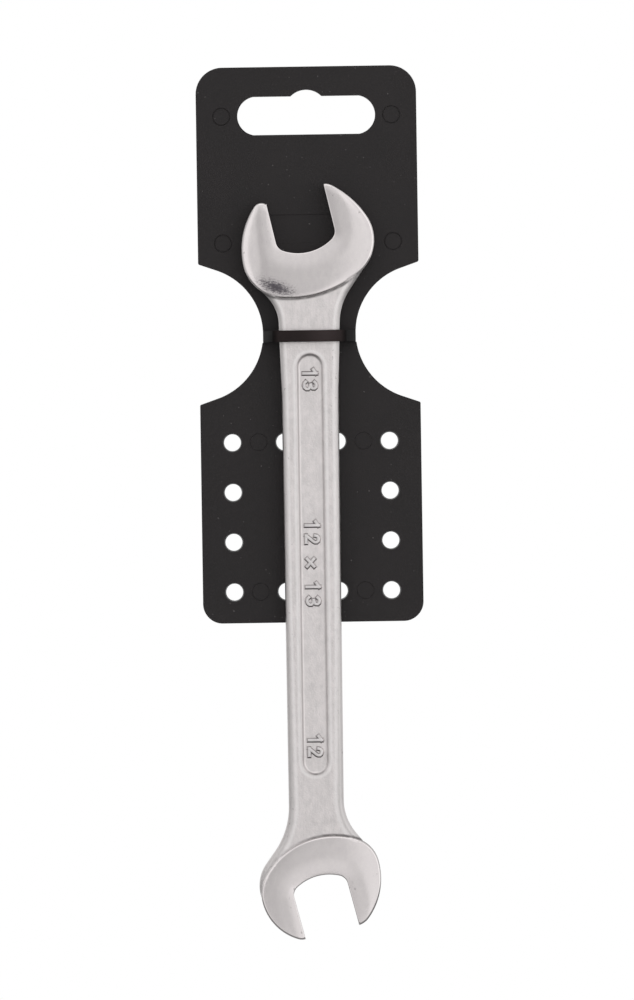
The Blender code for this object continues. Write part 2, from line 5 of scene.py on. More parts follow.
import bpy
import numpy as np
from mathutils import Matrix, Vector
from mathutils.geometry import delaunay_2d_cdt


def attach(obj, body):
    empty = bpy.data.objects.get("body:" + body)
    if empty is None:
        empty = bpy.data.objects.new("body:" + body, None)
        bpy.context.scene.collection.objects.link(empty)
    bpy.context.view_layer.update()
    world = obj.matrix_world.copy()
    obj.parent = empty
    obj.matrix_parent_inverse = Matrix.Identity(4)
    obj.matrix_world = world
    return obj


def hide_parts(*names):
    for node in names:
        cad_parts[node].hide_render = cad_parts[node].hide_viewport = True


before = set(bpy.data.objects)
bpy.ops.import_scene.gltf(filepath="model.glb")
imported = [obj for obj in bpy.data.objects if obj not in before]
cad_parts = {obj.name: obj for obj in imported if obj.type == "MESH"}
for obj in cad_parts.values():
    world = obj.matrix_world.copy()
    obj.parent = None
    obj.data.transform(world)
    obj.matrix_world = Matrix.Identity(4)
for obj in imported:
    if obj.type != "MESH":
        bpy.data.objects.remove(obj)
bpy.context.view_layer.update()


def millimetres(*lengths):
    """Lengths in metres."""
    return tuple(length * MM for length in lengths)


def degrees(*angles):
    """Angles in radians."""
    return tuple(math.radians(angle) for angle in angles)


MM = 0.001
HALF = 0.5
RIGHT_ANGLE = HALF * math.pi
OVERRUN = 1.0 * MM
CURVE_SAG = 0.002 * MM
SMOOTH_ANGLE = math.radians(40)

# Hang card, as in the CAD but for the waist's tighter arc and straight flares, for its seats, which lie
# close round the strap, and for the holes, which narrow towards the back
CARD_WIDTH = 48.0 * MM
CARD_HEIGHT = 121.0 * MM
CARD_THICKNESS = 1.8 * MM
CARD_TOP_RADIUS = 5.8 * MM
CARD_FOOT_RADIUS = 4.3 * MM
CARD_ROUND = 0.28 * MM
WAIST_WIDTH = 20.2 * MM
WAIST_RADIUS = 14.75 * MM
WAIST_ARC_RISE = 0.45 * MM
WAIST_FLARE_SIDE = 20.0 * MM
WAIST_CORNER_RADIUS = 0.4 * MM
WAIST_ABOVE_FOOT = 62.5 * MM
SLOT_LENGTH = 30.0 * MM
SLOT_HEIGHT = 8.4 * MM
SLOT_END_RISE = 3.5 * MM
NOTCH_WIDTH = 6.7 * MM
NOTCH_RISE = 1.4 * MM
NOTCH_BELOW_TOP = 5.0 * MM
HOLES_A_SIDE = 4
HOLE_RADIUS = 2.1 * MM
HOLE_BACK_RADIUS = 1.84 * MM
HOLE_PITCH_ACROSS = 11.4 * MM
HOLE_BELOW_WAIST = 23.15 * MM
HOLE_ABOVE_FOOT = 6.8 * MM
HOLE_VERTICES = 72
INSERT_WIDTH = 20.0 * MM
INSERT_HEIGHT = 6.2 * MM
INSERT_ABOVE_WAIST = 20.0 * MM
INSERT_DEPTH = 0.08 * MM
MARK_RADIUS = 1.85 * MM
MARK_SIDE = 18.5 * MM
MARK_ABOVE_WAIST = 20.2 * MM
MARK_BELOW_TOP = 10.7 * MM
MARK_SEGMENTS = 40
MARK_GROOVE_VERTICES = 10
GROOVE_HALF = 0.13 * MM
FAINT_GROOVE_HALF = 0.075 * MM
GROOVE_VERTICES = 12
# A face whose normal runs this straight along Y is level, and shaded flat
LEVEL_SHARE = 0.999

CARD_TOP = NOTCH_BELOW_TOP
CARD_FOOT = CARD_TOP - CARD_HEIGHT
WAIST = CARD_FOOT + WAIST_ABOVE_FOOT
SEAT_SIDE = 8.98 * MM
SEAT_LOW = WAIST - 1.57 * MM
SEAT_HIGH = WAIST + 0.97 * MM
SLOT_SHELF = -NOTCH_RISE
SLOT_FLOOR = SLOT_SHELF - SLOT_HEIGHT
HOLE_FOOT_ROW = CARD_FOOT + HOLE_ABOVE_FOOT
HOLE_TOP_ROW = WAIST - HOLE_BELOW_WAIST
CARD_FACE = HALF * CARD_THICKNESS

# Wrench, as in the CAD
WRENCH_MIDDLE = -4.0 * MM
NECK_WIDTH = 13.2 * MM
NECK_LENGTH = 14.5 * MM
NECK_TOP = 1.25 * MM
CHEEK_INSET = 0.05 * MM
SHANK_WIDTH = 12.4 * MM
SHANK_FOOT_WIDTH = 11.9 * MM
SHANK_HALF = 2.2 * MM
HEAD_HALF = 2.8 * MM
HEAD_12_BACK_DEPTH = 15.05 * MM
PANEL_TOP = -4.0 * MM
PANEL_LENGTH = 91.7 * MM
PANEL_HALF_WIDTH = 3.0 * MM
PANEL_DEPTH = 0.5 * MM
PANEL_SLOPE_WIDTH = 0.75 * MM

# The panel's round ends are centred here, and its floor lies here
PANEL_HIGH = PANEL_TOP - PANEL_HALF_WIDTH
PANEL_LOW = PANEL_TOP - PANEL_LENGTH + PANEL_HALF_WIDTH
PANEL_FLOOR = WRENCH_MIDDLE - SHANK_HALF + PANEL_DEPTH


class Head(NamedTuple):
    """One open end. Its frame has y up the jaw's axis and x across it, towards the long jaw.

    The disc is a run of tangent arcs, with their radii and the headings where they begin and end. Each
    flank, the right one first, has its angle off the shank, how far it stands out from the disc, and the
    radii at its root and at its shoulder.
    """
    turned: bool
    centre: Vector
    angle: float
    jaw: float
    throat_depth: float
    throat_radius: float
    throat_corner: float
    back_centre: Vector
    radii: tuple
    joints: tuple
    flanks: tuple
    brow_drop: float
    has_facet: bool


HEAD_13 = Head(
    turned=False,
    centre=Vector((-1.5, 25.4)) * MM,
    angle=math.radians(13.0),
    jaw=13.0 * MM,
    throat_depth=7.6 * MM,
    throat_radius=10.3 * MM,
    throat_corner=2.5 * MM,
    back_centre=Vector((-1.0, 6.45)) * MM,
    radii=millimetres(1.9, 16.4, 9.2, 23.5, 9.3, 19.7, 3.5),
    joints=degrees(45.0, 132.3, 178.1, 252.0, 296.5, 379.8, 409.8, 450.0),
    flanks=(degrees(34.2) + millimetres(-0.1, 13.5, 9.3), degrees(44.2) + millimetres(-0.25, 9.0, 9.2)),
    brow_drop=0.15 * MM,
    has_facet=True,
)
HEAD_12 = Head(
    turned=True,
    centre=Vector((1.7, -124.3)) * MM,
    angle=math.radians(14.6),
    jaw=12.0 * MM,
    throat_depth=7.0 * MM,
    throat_radius=10.2 * MM,
    throat_corner=2.3 * MM,
    back_centre=Vector((-1.45, 2.15)) * MM,
    radii=millimetres(4.05, 14.6, 6.9, 17.2, 8.0, 11.2, 2.85),
    joints=degrees(80.0, 129.0, 180.2, 238.2, 313.9, 360.1, 418.8, 460.0),
    flanks=(degrees(35.6) + millimetres(1.29, 17.0, 8.0), degrees(39.1) + millimetres(-0.48, 11.3, 6.9)),
    brow_drop=0.05 * MM,
    has_facet=False,
)
HEADS = (HEAD_13, HEAD_12)

# How the forging's faces round off and dip towards their edges
FLANK_WALL_HALF = 1.1 * MM
FLANK_ROUND = 1.1 * MM
RIM_ROUND = 0.4 * MM
RIM_DROP = 0.6 * MM
BROW_REACH = 1.8 * MM
JAW_BROW_REACH = 4.3 * MM
JAW_BROW_DROP = 0.29 * MM
CROWN_RADIUS = 170.0 * MM
FACET_START = 10.5 * MM
FACET_SLOPE = 0.2
FACET_BLEND = 0.24 * MM
STEP_BLEND = 0.22 * MM
JAW_ROUND = 0.2 * MM
OUTSIDE_SLOPE = 3

# Where the forging's faces get their points: rings in from the edge, the rims and the panel, then a fill
RING_STEPS = millimetres(0.012, 0.045, 0.1, 0.17, 0.26, 0.37, 0.5, 0.66, 0.86, 1.1, 1.45)
RIM_STEPS = millimetres(-0.3, -0.12, 0.0, 0.1, 0.2, 0.32, 0.46, 0.62, 0.82, 1.1, 1.6, 2.2)
PANEL_STEPS = millimetres(-0.2, -0.05, 0.08, 0.2, 0.32, 0.44, 0.56, 0.68, 0.8, 0.95)
RING_DEPTH_SHARE = 0.97
ALONG = 0.38 * MM
FILL = 0.62 * MM
FILL_ROW_SHARE = math.sqrt(0.75)
POINT_GAP = 0.24 * MM
BATCH = 1000
LEAST_SQUARE = 1e-18

# Raised size marks on the panel's floor
FIGURE_HEIGHT = 2.75 * MM
FIGURE_WIDTH = 3.71 * MM
FIGURE_RISE = 0.32 * MM
FIGURE_TOP_HALF = 0.24 * MM
FIGURE_FOOT_HALF = 0.57 * MM
FIGURE_SUNK = 0.05 * MM
FIGURE_ROUND = 0.06 * MM
STROKE_STEP = 0.02 * MM
# How dark the painted shade lies on the slopes that face down, up and to the sides, and where it ends
DOWN_SHADE = 1.3
UP_SHADE = 0.85
SIDE_SHADE = 0.15
MARK_FADE = (PANEL_FLOOR - FIGURE_RISE, PANEL_FLOOR - 0.75 * FIGURE_RISE)
# Strokes of each figure, as points of the middle line: shares of the width and of the height
FIGURES = {
    "1": ([(0.3, 0.0), (0.3, 1.0)], [(0.31, 0.98), (0.08, 0.76)]),
    "2": ([(0.04, 0.74), (0.06, 0.87), (0.14, 0.97), (0.25, 1.0), (0.36, 0.96), (0.43, 0.85), (0.43, 0.7),
           (0.37, 0.56), (0.23, 0.34), (0.05, 0.03)], [(0.03, 0.0), (0.45, 0.0)]),
    "3": ([(0.13, 0.85), (0.2, 0.95), (0.32, 1.0), (0.44, 0.96), (0.51, 0.85), (0.5, 0.68), (0.42, 0.57),
           (0.28, 0.53)], [(0.3, 0.53), (0.44, 0.49), (0.54, 0.36), (0.54, 0.2), (0.45, 0.06), (0.32, 0.0),
                           (0.19, 0.04), (0.11, 0.15)]),
    "x": ([(0.06, 0.06), (0.5, 0.6)], [(0.06, 0.6), (0.5, 0.06)]),
}
# Each mark's place below the tie's middle, then its figures and their places in widths down from there
RAISED = {
    "raised_13": (-7.3 * MM, (("1", 0.0), ("3", 0.68))),
    "raised_12_x_13": (-40.3 * MM, (("1", 0.0), ("2", 0.86), ("x", 2.2), ("1", 3.6), ("3", 4.4))),
    "raised_12": (-86.9 * MM, (("1", 0.0), ("2", 0.76))),
}

# Cable tie
TIE_EDGE = 0.22 * MM
TIE_WELD = 0.002 * MM
TIE_FLAT_ANGLE = math.radians(1.0)

# Chrome. The finish reads two maps of depths in from a rim or an edge: a half is the rim itself
MAP_SPAN = 30.0 * MM
MAP_MM = MM / MAP_SPAN
# Painted shade and painted highlights on the maps: a centre and a reach
STEP_SHADE = (HALF - 0.17 * MAP_MM, 0.5 * MAP_MM)
WALL_SHADE = (HALF + 0.3 * MAP_MM, 0.42 * MAP_MM)
RIM_HIGHLIGHT = (HALF - 0.45 * MAP_MM, 0.5 * MAP_MM)
EDGE_HIGHLIGHT = (1.25 * MAP_MM, 0.45 * MAP_MM)
# Where one look turns into another, on the maps, then across the wrench, then up it
HEAD_FADE = (HALF - 0.1 * MAP_MM, HALF + 0.25 * MAP_MM)
STREAK_FADE = (HALF, HALF + 0.8 * MAP_MM)
BEVEL_FADE = (0.65 * MAP_MM, 1.0 * MAP_MM)
EDGE_SHADE_FADE = (0.2 * MAP_MM, 1.6 * MAP_MM)
SPECK_FADE = (0.3 * MAP_MM, 2.6 * MAP_MM)
SIDE_FADE = millimetres(-1, 1)
KEPT_FADE = millimetres(-5, 3)
PALER_FADE = millimetres(-6, 2)
MIDDLE_FADE = (WAIST - 61 * MM, WAIST - 59 * MM)
NARROW_FADE = (WAIST - 110 * MM, WAIST - 50 * MM)
STAIN_PLACE = (-7.2 * MM, -7.0 * MM, WAIST + 10.4 * MM)
STAIN_TURN = (0, math.radians(20), 0)
STAIN_SIZE = millimetres(4.0, 1.5, 1.35)
STEEL_RELIEF = 0.045 * MM
MARK_RELIEF = 0.012 * MM
# Nylon: where a highlight is painted on the strap, and where painted shade darkens its sides
SHEEN_BAND = millimetres(3.2, 6.0)
STRAP_SHADE_FADE = millimetres(6.4, 8.2)
NYLON_RELIEF = 0.008 * MM
CARD_RELIEF = 0.02 * MM

# Colours, linear
BLASTED = (0.705, 0.67, 0.665, 1), (0.83, 0.785, 0.78, 1)
BLASTED_PATCH = (0.45, 0.43, 0.43, 1)
POLISHED = (0.685, 0.645, 0.645, 1), (0.72, 0.68, 0.675, 1)
STREAK = (0.56, 0.535, 0.53, 1)
# painted shade of the shank's bevelled edges, then its painted highlight
BEVEL = (0.54, 0.52, 0.515, 1)
PAINTED_HIGHLIGHT = (0.93, 0.90, 0.895, 1)
# painted shade, for the wrench's crevices and the figures' slopes
PAINTED_SHADE = (0.12, 0.11, 0.11, 1)
SPECK = (0.16, 0.15, 0.15, 1)
STAIN = (0.085, 0.075, 0.09, 1)
STAIN_HALO = (0.24, 0.22, 0.235, 1)
PLATED_MARK = (0.70, 0.67, 0.67, 1), (0.80, 0.77, 0.765, 1)
PLASTIC = (0.0165, 0.014, 0.0145, 1), (0.0205, 0.0175, 0.018, 1)
DUST = (0.14, 0.13, 0.13, 1)
NYLON = (0.026, 0.020, 0.020, 1)
# painted highlight and painted shade of the strap
NYLON_SHEEN = (0.062, 0.048, 0.048, 1)
NYLON_SHADE = (0.002, 0.0018, 0.0018, 1)
FLOOR = (0.78, 0.78, 0.78, 1), (0.82, 0.82, 0.82, 1)
# The range that noise keeps to
NOISE_LOW, NOISE_HIGH = 0.3, 0.7


# Shapes of the plane

def heading(angle):
    """Unit vector of the plane."""
    return Vector((math.cos(angle), math.sin(angle)))


def arc(centre, radius, start, end):
    """Points along an arc, close enough to the true curve."""
    step = 2 * math.acos(1 - CURVE_SAG / radius)
    count = max(2, math.ceil(abs(end - start) / step))
    return [centre + radius * heading(start + (end - start) * i / count) for i in range(count + 1)]


def bulge(first, last, rise):
    """Arc from first to last that stands out to the right of the chord by rise."""
    chord = last - first
    radius = ((HALF * chord.length) ** 2 + rise ** 2) / (2 * rise)
    inward = Vector((-chord.y, chord.x)).normalized()
    centre = (first + last) / 2 + inward * (radius - rise)
    start = math.atan2(first.y - centre.y, first.x - centre.x)
    sweep = 4 * math.atan(2 * rise / chord.length)
    return arc(centre, radius, start, start + sweep)


def rounded(before, corner, after, radius, room):
    """Arc that rounds one corner, as long as there is room for it on both sides."""
    back, on = before - corner, after - corner
    half = HALF * back.angle(on)
    reach = min(radius / math.tan(half), room)
    radius = reach * math.tan(half)
    centre = corner + (back.normalized() + on.normalized()).normalized() * radius / math.sin(half)
    start = corner + back.normalized() * reach - centre
    turn = math.copysign(math.pi - 2 * half, -back.cross(on))
    first = math.atan2(start.y, start.x)
    return arc(centre, radius, first, first + turn)


def rounded_path(corners):
    """Path through corners, each with its radius. Two round corners share the side between them."""
    points = []
    count = len(corners)
    for i, (corner, radius) in enumerate(corners):
        if not radius:
            points.append(corner)
            continue
        before, after = corners[i - 1], corners[(i + 1) % count]
        room = min((corner - place).length * (HALF if other else 1) for place, other in (before, after))
        points += rounded(before[0], corner, after[0], radius, room)
    return points


def meet(point, along, other, other_along):
    """Where two lines of the plane cross."""
    return point + along * (other - point).cross(other_along) / along.cross(other_along)


def mirrored(points):
    """Points on the other side of the middle line, in the order that carries the line on."""
    return [Vector((-point.x, point.y)) for point in reversed(points)]


# Outlines of the forging, x across and y up from the tie's middle

def disc_outline(head):
    """Tangent arcs from the short jaw's tip round the back to the long jaw's tip, in the jaw's frame."""
    radii, joints = head.radii, head.joints
    middle = len(radii) // 2
    centres = [None] * len(radii)
    centres[middle] = head.back_centre
    for i in range(middle + 1, len(radii)):
        centres[i] = centres[i - 1] + (radii[i - 1] - radii[i]) * heading(joints[i])
    for i in range(middle - 1, -1, -1):
        centres[i] = centres[i + 1] + (radii[i + 1] - radii[i]) * heading(joints[i + 1])
    points = []
    for i, (centre, radius) in enumerate(zip(centres, radii)):
        points += arc(centre, radius, joints[i], joints[i + 1])[:-1]
    return points + [centres[-1] + radii[-1] * heading(joints[-1])]


def in_wrench(head, point):
    """A point of the jaw's frame in the wrench's frame."""
    turn = head.angle + (math.pi if head.turned else 0)
    across, along = heading(turn), heading(turn + RIGHT_ANGLE)
    return head.centre + point.x * across + point.y * along


def disc(head):
    """The disc's rim in the wrench's frame, open at the mouth."""
    return [in_wrench(head, point) for point in disc_outline(head)]


def jaw(head):
    """Parallel flats, relieved corners and a round throat, open past the tips."""
    side = HALF * head.jaw
    corner = head.throat_corner
    throat = Vector((0, head.throat_radius - head.throat_depth))
    corner_x = side - corner
    drop = math.sqrt((head.throat_radius - corner) ** 2 - corner_x ** 2)
    corner_centre = Vector((corner_x, throat.y - drop))
    lean = math.atan2(-drop, corner_x)
    right = arc(throat, head.throat_radius, -RIGHT_ANGLE, lean)[:-1]
    right += arc(corner_centre, corner, lean, 0)
    right.append(Vector((side, head.jaw + OVERRUN)))
    return [in_wrench(head, point) for point in right + mirrored(right[1:])]


def neck_corners(head, side, shank_point, shank_along):
    """Corners of the neck on one side, from the shank to inside the disc, each with its radius."""
    outline = disc_outline(head)
    flank, stand_out, root_radius, shoulder_radius = head.flanks[0 if side > 0 else 1]
    lean = -(flank + head.angle) if side > 0 else math.pi + flank - head.angle
    normal, along_flank = heading(lean), heading(lean + RIGHT_ANGLE)
    on_flank = max(outline, key=lambda point: point.dot(normal)) + stand_out * normal
    root_point = in_wrench(head, on_flank)
    root_along = in_wrench(head, on_flank + along_flank * head.jaw) - root_point
    corners = [(meet(root_point, root_along, shank_point, shank_along), root_radius)]
    if stand_out > 0:
        widest = max(outline, key=lambda point: side * point.x)
        cheek = Vector((widest.x - side * CHEEK_INSET, widest.y))
        shoulder = meet(on_flank, along_flank, cheek, Vector((0, 1)))
        corners += [(in_wrench(head, shoulder), shoulder_radius), (in_wrench(head, cheek), 0)]
    else:
        corners.append((root_point, 0))
    return corners


def shank():
    """Shank and both necks, ending inside the heads, counterclockwise from the front."""
    foot = HEAD_12.centre.y + HEAD_12_BACK_DEPTH
    corners = []
    for side in (1, -1):
        top = Vector((side * HALF * NECK_WIDTH, NECK_TOP))
        middle = Vector((side * HALF * SHANK_WIDTH, NECK_TOP - NECK_LENGTH))
        low = Vector((side * HALF * SHANK_FOOT_WIDTH, foot))
        upper = neck_corners(HEAD_13, side, middle, top - middle)
        lower = neck_corners(HEAD_12, -side, low, middle - low)
        run = list(reversed(lower)) + [(middle, 0)] + upper
        corners += run if side > 0 else list(reversed(run))
    return rounded_path(corners)


def spaced(points, step, closed=True):
    """The same line with points no further apart than step."""
    ends = points[1:] + points[:1] if closed else points[1:]
    line = []
    for start, end in zip(points, ends):
        count = max(1, math.ceil((end - start).length / step))
        line += [start + (end - start) * i / count for i in range(count)]
    return line if closed else line + [points[-1]]


def silhouette():
    """Edge of the whole forging: shank and discs together, less the jaws."""
    solids = [shank(), *map(disc, HEADS)]
    loops, points = [], []
    for shape in (*solids, *map(jaw, HEADS)):
        loops.append(range(len(points), len(points) + len(shape)))
        points += shape
    net = delaunay_2d_cdt(points, [], loops, 0, 0, True)
    places, triangles, covers = net[0], net[2], net[5]
    # a dict keeps the edges in order
    edges = dict.fromkeys((start, end) for triangle, cover in zip(triangles, covers)
                          if cover and max(cover) < len(solids)
                          for start, end in zip(triangle, triangle[1:] + triangle[:1]))
    following = {start: end for start, end in edges if (end, start) not in edges}
    place = next(iter(following))
    loop = []
    while place in following:
        loop.append(places[place])
        place = following.pop(place)
    # the last point lies within 0.01 mm of the line between its neighbours
    return loop[:-1]


# Thickness of the forging

def as_array(points):
    """Points of the plane as rows."""
    return np.array([(point.x, point.y) for point in points])


def distance(places, line, closed=True):
    """Distance of each place to a line of points."""
    starts = as_array(line)
    ends = np.roll(starts, -1, axis=0)
    if not closed:
        starts, ends = starts[:-1], ends[:-1]
    along = ends - starts
    squares = np.maximum((along ** 2).sum(axis=1), LEAST_SQUARE)
    nearest = np.empty(len(places))
    for first in range(0, len(places), BATCH):
        part = places[first:first + BATCH, None, :] - starts[None]
        share = np.clip((part * along).sum(axis=2) / squares, 0, 1)
        gaps = ((part - share[..., None] * along) ** 2).sum(axis=2)
        nearest[first:first + BATCH] = np.sqrt(gaps.min(axis=1))
    return nearest


def inside(places, loop):
    """Which places lie inside a closed loop."""
    starts = as_array(loop)
    ends = np.roll(starts, -1, axis=0)
    found = np.zeros(len(places), bool)
    for start, end in zip(starts, ends):
        if start[1] == end[1]:
            continue
        between = (places[:, 1] > min(start[1], end[1])) & (places[:, 1] <= max(start[1], end[1]))
        cross = start[0] + (places[:, 1] - start[1]) * (end[0] - start[0]) / (end[1] - start[1])
        found ^= between & (places[:, 0] < cross)
    return found


def depth_inside(places, loop, closed=True):
    """Distance in from a loop's edge; negative outside. An open loop has no edge between its ends."""
    far = distance(places, loop, closed)
    return np.where(inside(places, loop), far, -far)


def panel_depth(places):
    """Distance in from the edge of the shank's long panel; negative outside."""
    up = places[:, 1] - np.clip(places[:, 1], PANEL_LOW, PANEL_HIGH)
    return PANEL_HALF_WIDTH - np.hypot(places[:, 0], up)


def dip(depth, reach):
    """Fall of a face towards an edge, from 0 at its reach to 1 at the edge."""
    return (1 - np.clip(depth / reach, 0, 1)) ** 2


def quarter(depth, reach):
    """Rise of a rounded edge, from 0 at the edge to 1 at its reach."""
    return np.sqrt(1 - dip(depth, reach))


def eased(share):
    """Smooth step."""
    share = np.clip(share, 0, 1)
    return share * share * (3 - 2 * share)


def joined(low, high, blend):
    """Greater of two heights, with a fillet where they cross."""
    near = np.clip(blend - np.abs(low - high), 0, None) / blend
    return np.maximum(low, high) + near ** 2 * blend / 4


def head_height(head, places):
    """Half the thickness of a head: a low crown, the facet on the short jaw's side, a rounded rim."""
    depth = depth_inside(places, disc(head), closed=False)
    outward = places[:, 0] if head.turned else -places[:, 0]
    face = HEAD_HALF - outward ** 2 / (2 * CROWN_RADIUS)
    if head.has_facet:
        facet = HEAD_HALF - FACET_START ** 2 / (2 * CROWN_RADIUS) - FACET_SLOPE * (outward - FACET_START)
        face = -joined(-face, -facet, FACET_BLEND)
    face -= head.brow_drop * dip(depth, BROW_REACH)
    face -= RIM_DROP * (1 - quarter(depth, RIM_ROUND))
    face -= JAW_BROW_DROP * dip(distance(places, jaw(head)), JAW_BROW_REACH)
    return face + np.minimum(depth, 0) * OUTSIDE_SLOPE


def half_thickness(places):
    """Half the forging's thickness at each place."""
    depth = depth_inside(places, shank())
    height = FLANK_WALL_HALF + (SHANK_HALF - FLANK_WALL_HALF) * quarter(depth, FLANK_ROUND)
    height += np.minimum(depth, 0) * OUTSIDE_SLOPE
    height -= PANEL_DEPTH * eased(panel_depth(places) / PANEL_SLOPE_WIDTH)
    for head in HEADS:
        height = joined(height, head_height(head, places), STEP_BLEND)
    for head in HEADS:
        height -= JAW_ROUND * (1 - quarter(distance(places, jaw(head)), JAW_ROUND))
    return height


def offset_ring(line, depth, closed=True):
    """A line moved to its left by depth."""
    points = as_array(line)
    if closed:
        along = np.roll(points, -1, axis=0) - np.roll(points, 1, axis=0)
    else:
        along = np.gradient(points, axis=0)
    along /= np.linalg.norm(along, axis=1)[:, None]
    return points + depth * np.stack((-along[:, 1], along[:, 0]), axis=1)


def thinned(families, spacing):
    """Places of all families, leaving out those of a later family too near to an earlier one."""
    kept = np.empty((0, 2))
    for family in families:
        if len(kept):
            taken = {}
            for x, y in kept:
                taken.setdefault((int(x // spacing), int(y // spacing)), []).append((x, y))
            free = []
            for x, y in family:
                column, row = int(x // spacing), int(y // spacing)
                near = (place for i in (-1, 0, 1) for j in (-1, 0, 1)
                        for place in taken.get((column + i, row + j), ()))
                if all((x - a) ** 2 + (y - b) ** 2 > spacing ** 2 for a, b in near):
                    free.append((x, y))
            family = np.array(free).reshape(-1, 2)
        kept = np.concatenate((kept, family))
    return kept


def face_places(edge):
    """Places over the forging's face: rings in from the edge, along the rims and the panel, then a fill."""
    rings = []
    for depth in RING_STEPS:
        ring = offset_ring(edge, depth)
        rings.append(ring[distance(ring, edge) > RING_DEPTH_SHARE * depth])
    rims = []
    for head in HEADS:
        rim = spaced(disc(head), ALONG, closed=False)
        rims += [offset_ring(rim, depth, closed=False) for depth in RIM_STEPS]
    stadium = arc(Vector((0, PANEL_HIGH)), PANEL_HALF_WIDTH, 0, math.pi)
    stadium += arc(Vector((0, PANEL_LOW)), PANEL_HALF_WIDTH, math.pi, 2 * math.pi)
    stadium = spaced(stadium, ALONG)
    panels = [offset_ring(stadium, depth) for depth in PANEL_STEPS]
    lowest, highest = as_array(edge).min(axis=0), as_array(edge).max(axis=0)
    across = np.arange(lowest[0], highest[0], FILL)
    rows = np.arange(lowest[1], highest[1], FILL * FILL_ROW_SHARE)
    fill = [np.stack((across + HALF * FILL * (i % 2), np.full(len(across), row)), axis=1)
            for i, row in enumerate(rows)]
    families = [np.concatenate(rings)]
    for family in (rims, panels, fill):
        family = np.concatenate(family)
        family = family[inside(family, edge)]
        families.append(family[distance(family, edge) > RING_STEPS[-1]])
    return thinned(families, POINT_GAP)


def wear_and_shade_maps(places, edge):
    """Two maps for the finish: depth inside the heads and in from the edge, depth inside the panel."""
    heads = np.maximum(*(depth_inside(places, disc(head), closed=False) for head in HEADS))
    panel = panel_depth(places)
    lean = (places[:, 1] - np.clip(places[:, 1], PANEL_LOW, PANEL_HIGH)) / PANEL_HALF_WIDTH
    return {"edges": np.stack((HALF + heads / MAP_SPAN, distance(places, edge) / MAP_SPAN), axis=1),
            "panel": np.stack((HALF + panel / MAP_SPAN, HALF + HALF * np.clip(lean, -1, 1)), axis=1)}


def forging():
    """The wrench: two faces whose thickness blends from shank to heads, joined by the ground edge."""
    edge = spaced(silhouette(), ALONG)
    points = edge + [Vector(place) for place in face_places(edge)]
    net = delaunay_2d_cdt(points, [], [range(len(edge))], 0, 0, True)
    places = np.array([tuple(place) for place in net[0]])
    triangles = [tuple(triangle) for triangle, cover in zip(net[2], net[5]) if cover]
    heights = half_thickness(places)
    count = len(places)
    front, back = (np.stack((places[:, 0], WRENCH_MIDDLE + side * heights, places[:, 1] + WAIST), axis=1)
                   for side in (-1, 1))
    directed = {pair for a, b, c in triangles for pair in ((a, b), (b, c), (c, a))}
    faces = triangles + [(c + count, b + count, a + count) for a, b, c in triangles]
    faces += [(a, a + count, b + count, b) for a, b in directed if (b, a) not in directed]
    mesh = bpy.data.meshes.new("forged_wrench")
    mesh.from_pydata(np.concatenate((front, back)).tolist(), [], faces)
    corners = np.empty(len(mesh.loops), int)
    mesh.loops.foreach_get("vertex_index", corners)
    for name, pair in wear_and_shade_maps(places, edge).items():
        layer = mesh.uv_layers.new(name=name)
        layer.data.foreach_set("uv", np.clip(pair, 0, 1)[corners % count].ravel())
    return linked("forged_wrench", mesh)


# Modelling by operators

def linked(name, data):
    """A new object of the scene."""
    thing = bpy.data.objects.new(name, data)
    bpy.context.scene.collection.objects.link(thing)
    return thing


def alone(thing):
    """Make one object the only one selected, and active."""
    bpy.ops.object.select_all(action="DESELECT")
    thing.select_set(True)
    bpy.context.view_layer.objects.active = thing
    return thing


def added(name, operator, **settings):
    """A primitive, alone."""
    bpy.ops.object.select_all(action="DESELECT")
    operator(**settings)
    thing = bpy.context.object
    thing.name = thing.data.name = name
    return thing


def edit(thing, *steps):
    """Run operators of the edit mode, each on the whole mesh."""
    alone(thing)
    bpy.ops.object.mode_set(mode="EDIT")
    for operator, settings in steps:
        bpy.ops.mesh.select_all(action="SELECT")
        operator(**settings)
    bpy.ops.object.mode_set(mode="OBJECT")


def bevel(thing, width, segments, angle):
    """Round the edges that turn by more than the angle."""
    edge = thing.modifiers.new("edge", "BEVEL")
    edge.width = width
    edge.segments = segments
    edge.limit_method = "ANGLE"
    edge.angle_limit = math.radians(angle)


def apply_modifiers(thing):
    """Apply a piece's modifiers in turn."""
    alone(thing)
    for modifier in list(thing.modifiers):
        bpy.ops.object.modifier_apply(modifier=modifier.name)


def settle(thing):
    """Apply a piece's place and modifiers, and smooth what isn't an edge."""
    alone(thing)
    bpy.ops.object.transform_apply(location=True, rotation=True, scale=True)
    apply_modifiers(thing)
    bpy.ops.object.shade_smooth_by_angle(angle=SMOOTH_ANGLE)
    return thing


def slab(name, outline, front, back):
    """A flat piece of any outline, extruded from front to back along Y."""
    piece = added(name, bpy.ops.mesh.primitive_circle_add, vertices=len(outline), fill_type="NGON")
    for vertex, place in zip(piece.data.vertices, outline):
        vertex.co = (place.x, front, place.y)
    move = {"value": (0, back - front, 0)}
    edit(piece, (bpy.ops.mesh.extrude_region_move, {"TRANSFORM_OT_translate": move}),
         (bpy.ops.mesh.normals_make_consistent, {"inside": False}))
    return piece


def cut(piece, tool):
    """Take a tool's shape out of a piece for good."""
    step = piece.modifiers.new(tool.name, "BOOLEAN")
    step.operation = "DIFFERENCE"
    step.object = tool
    step.solver = "EXACT"
    apply_modifiers(piece)
    bpy.data.objects.remove(tool, do_unlink=True)


